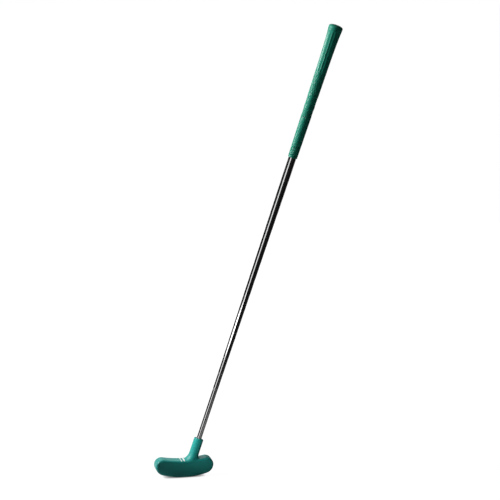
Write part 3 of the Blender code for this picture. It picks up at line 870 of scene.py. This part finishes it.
def build():
    """Every piece of the club."""
    make_head(rubber("head rubber", TEAL, roughness=0.42, shine=0.40, parting=True), paint())
    make_shaft(chrome())
    make_grip(rubber("grip rubber", GREEN, roughness=0.30, shine=0.31, along_shaft=True))
    cap_green = scaled(GREEN, 1.05)
    make_cap(rubber("cap rubber", cap_green, roughness=0.42, shine=0.3, along_shaft=True))
    dress("head_core", cast_zinc())
    dress("hosel_bond", epoxy())
    dress("grip_tape", crepe_tape())


# The studio. Azimuth 0 is in front of the front face, and 90 degrees is heelward

CAMERA_AZIMUTH = math.radians(-12)
CAMERA_ELEVATION = math.radians(13)
CAMERA_DISTANCE = 6.0
CAMERA_TARGET = Vector((0.12711, 0, 0.42841))
CAMERA_REACH = 60
WIDTH_AT_TARGET = 0.92746

WORLD_STRENGTH = 0.015  # on the object, and 1 where it is seen
CLUB_MIDDLE = (0.12, 0, 0.35)
NECK_MIDDLE = (0.028, 0, 0.068)

FLOOR_REACH = 20
FLOOR_COLOUR = (0.37, 0.37, 0.37)
FLOOR_COLOUR_SEEN = (0.09, 0.09, 0.09)
FLOOR_GLOW = 0.97  # at the head, rising to 1 between the two distances
FLOOR_GLOW_RISE = (0.2, 0.9)
# A painted contact shadow: the floor's glow darkens where it is closed in within this reach
PAINTED_SHADOW_REACH = 0.006
PAINTED_SHADOW_GLOW = 0.2  # the painted shadow's glow where the floor is most closed in, rising to 1 between the two shares of openness
PAINTED_SHADOW_OPENNESS = (0.1, 0.85)

CLOTH_MIDDLE_X = 0.12
CLOTH_RADIUS = 1.7
CLOTH_TOP = 3.2
CLOTH_STEPS = 24
CLOTH_COLOURS = (0.016, 0.016, 0.016), (0.024, 0.024, 0.024)
FLOOR_CLOTH = (0.016, 0.002), (1.9, 0.002)

# A paler ring on a cloth: its level, and the distances from the head between which it rises and falls
FRONT_RING = (0.3, (0.14, 0.2), (0.3, 0.5))
SIDE_RING = (0.14, (0.12, 0.18), (0.2, 0.36))
BACK_RING = (0.15, (0.05, 0.2), (1.2, 1.9))


def direction(azimuth, elevation):
    """A unit vector away from the object."""
    return Vector((
        math.sin(azimuth) * math.cos(elevation),
        -math.cos(azimuth) * math.cos(elevation),
        math.sin(elevation),
    ))


def add_camera():
    """The camera, which sees the club from the photograph's side."""
    camera = bpy.data.objects.new("camera", bpy.data.cameras.new("camera"))
    bpy.context.collection.objects.link(camera)
    back = direction(CAMERA_AZIMUTH, CAMERA_ELEVATION)
    camera.location = CAMERA_TARGET + CAMERA_DISTANCE * back
    camera.rotation_euler = back.to_track_quat("Z", "Y").to_euler()
    camera.data.lens = camera.data.sensor_width * CAMERA_DISTANCE / WIDTH_AT_TARGET
    camera.data.clip_end = CAMERA_REACH
    bpy.context.scene.camera = camera


def hang(lamp, azimuth, elevation, distance, strength, target):
    """Sets a lamp up so that it faces a point from a direction in degrees."""
    lamp.energy = strength
    made = bpy.data.objects.new(lamp.name, lamp)
    bpy.context.collection.objects.link(made)
    away = direction(math.radians(azimuth), math.radians(elevation))
    made.location = Vector(target) + distance * away
    made.rotation_euler = away.to_track_quat("Z", "Y").to_euler()
    return made


def add_lamp(name, azimuth, elevation, distance, width, height, strength):
    """A soft area lamp that faces the club's middle."""
    lamp = bpy.data.lights.new(name, "AREA")
    lamp.shape = "RECTANGLE"
    lamp.size = width
    lamp.size_y = height
    return hang(lamp, azimuth, elevation, distance, strength, CLUB_MIDDLE)


def add_spot(name, azimuth, elevation, distance, radius, cone, strength, target):
    """A small soft spot on one place, whose cone fades from its middle to its edge."""
    lamp = bpy.data.lights.new(name, "SPOT")
    lamp.shadow_soft_size = radius
    lamp.spot_size = math.radians(cone)
    lamp.spot_blend = 1.0
    return hang(lamp, azimuth, elevation, distance, strength, target)


def white_where_seen(tree, dim):
    """A strength of 1 to camera, glossy and transmission rays, and a lower one to the rest."""
    path = tree.nodes.new("ShaderNodeLightPath")
    seen = calculate(tree, "MAXIMUM", path.outputs["Is Camera Ray"], path.outputs["Is Glossy Ray"])
    seen = calculate(tree, "MAXIMUM", seen, path.outputs["Is Transmission Ray"])
    return spread(tree, seen, dim, 1, start=0, end=1)


def set_world(dim):
    """A world that is white where it is seen, and lights the object less."""
    world = bpy.data.worlds.new("studio")
    world.use_nodes = True
    bpy.context.scene.world = world
    tree = world.node_tree
    tree.links.new(white_where_seen(tree, dim), tree.nodes["Background"].inputs["Strength"])
    tree.nodes["Background"].inputs["Color"].default_value = (1, 1, 1, 1)


def add_floor():
    """A large floor, white where it is seen, which keeps the shadow, with a painted contact shadow where
    it is touched.
    """
    points = [(x * FLOOR_REACH, y * FLOOR_REACH, 0) for x, y in ((-1, -1), (1, -1), (1, 1), (-1, 1))]
    made = bpy.data.materials.new("floor")
    made.use_nodes = True
    tree = made.node_tree
    tree.nodes.clear()
    output = tree.nodes.new("ShaderNodeOutputMaterial")
    both = tree.nodes.new("ShaderNodeAddShader")
    glow = tree.nodes.new("ShaderNodeEmission")
    matt = tree.nodes.new("ShaderNodeBsdfDiffuse")
    seen = white_where_seen(tree, 0)
    tree.links.new(blended(tree, seen, FLOOR_COLOUR, FLOOR_COLOUR_SEEN), matt.inputs["Color"])
    level = spread(tree, distance_from_head(tree), FLOOR_GLOW, 1, *FLOOR_GLOW_RISE)
    # Painted shadow: the glow is darkened where ambient occlusion finds the floor closed in
    near = tree.nodes.new("ShaderNodeAmbientOcclusion")
    near.inputs["Distance"].default_value = PAINTED_SHADOW_REACH
    painted_shadow_level = spread(tree, near.outputs["AO"], PAINTED_SHADOW_GLOW, 1, *PAINTED_SHADOW_OPENNESS)
    level = calculate(tree, "MULTIPLY", level, painted_shadow_level)
    level = calculate(tree, "MULTIPLY", level, seen)
    tree.links.new(level, glow.inputs["Strength"])
    tree.links.new(glow.outputs["Emission"], both.inputs[0])
    tree.links.new(matt.outputs["BSDF"], both.inputs[1])
    tree.links.new(both.outputs["Shader"], output.inputs["Surface"])
    add_mesh("floor", points, [(0, 1, 2, 3)], made)


def add_cloth(name, middle_x, start, end, inner, outer, ring=None):
    """A dark cloth round a point, between two azimuths and two edges of (radius, height).

    It shows only in reflections, as the cloths that a studio hangs round bright metal.
    """
    points = []
    for azimuth in np.radians(np.linspace(start, end, CLOTH_STEPS + 1)):
        for radius, height in (inner, outer):
            points.append((middle_x + radius * math.sin(azimuth), -radius * math.cos(azimuth), height))
    faces = [(2 * i, 2 * i + 2, 2 * i + 3, 2 * i + 1) for i in range(CLOTH_STEPS)]
    made, tree, shader = new_material(name)
    shader.inputs["Roughness"].default_value = 1.0
    shader.inputs["Specular IOR Level"].default_value = 0.0
    colour = blended(tree, noise(tree, coordinates(tree), scale=30), *CLOTH_COLOURS)
    if ring:
        level, rise, fall = ring
        away = distance_from_head(tree)
        inside = spread(tree, away, 0, 1, *rise)
        inside = calculate(tree, "MULTIPLY", inside, spread(tree, away, 1, 0, *fall))
        colour = blended(tree, inside, colour, (level, level, level))
    tree.links.new(colour, shader.inputs["Base Color"])
    cloth = add_mesh(name, points, faces, made)
    cloth.visible_camera = cloth.visible_diffuse = False
    cloth.visible_shadow = cloth.visible_transmission = False


def hang_cloth(name, start, end, low, high):
    """A cloth that stands round the club, between two heights."""
    add_cloth(name, CLOTH_MIDDLE_X, start, end, (CLOTH_RADIUS, low), (CLOTH_RADIUS, high))


def lay_cloth(name, start, end, ring):
    """A cloth on the floor round the head."""
    add_cloth(name, 0.0, start, end, *FLOOR_CLOTH, ring)


def light():
    """The world, the floor, the lamps and the cloths."""
    set_world(WORLD_STRENGTH)
    add_floor()
    add_lamp("key", azimuth=-100, elevation=32, distance=2.2, width=0.8, height=0.9, strength=52)
    add_lamp("left_back", azimuth=-136, elevation=8, distance=2.2, width=0.8, height=0.8, strength=14)
    fill = add_lamp(
        "right_back", azimuth=148, elevation=4, distance=2.2, width=1.0, height=1.0, strength=24
    )
    fill.visible_glossy = False
    neck = add_spot(
        "neck", azimuth=-45, elevation=12, distance=1.2, radius=0.03, cone=5.5, strength=34,
        target=NECK_MIDDLE,
    )
    neck.visible_glossy = False
    flare = add_lamp(
        "flare", azimuth=-58, elevation=-1.6, distance=1.6, width=1.3, height=0.1, strength=1
    )
    flare.rotation_euler.rotate_axis("Z", math.radians(-10))
    hang_cloth("card_front", -38, 138, low=0.0, high=CLOTH_TOP)
    hang_cloth("card_back_low", 138, 168, low=0.0, high=0.8)
    hang_cloth("card_back_high", 138, 174, low=1.25, high=CLOTH_TOP)
    hang_cloth("card_left", -165, -66, low=0.0, high=1.05)
    lay_cloth("card_floor_front", -58, 50, FRONT_RING)
    lay_cloth("card_floor_side", 50, 112, SIDE_RING)
    lay_cloth("card_floor_back", 112, 172, BACK_RING)


build()
add_camera()
light()
bpy.context.scene.view_settings.view_transform = "Standard"
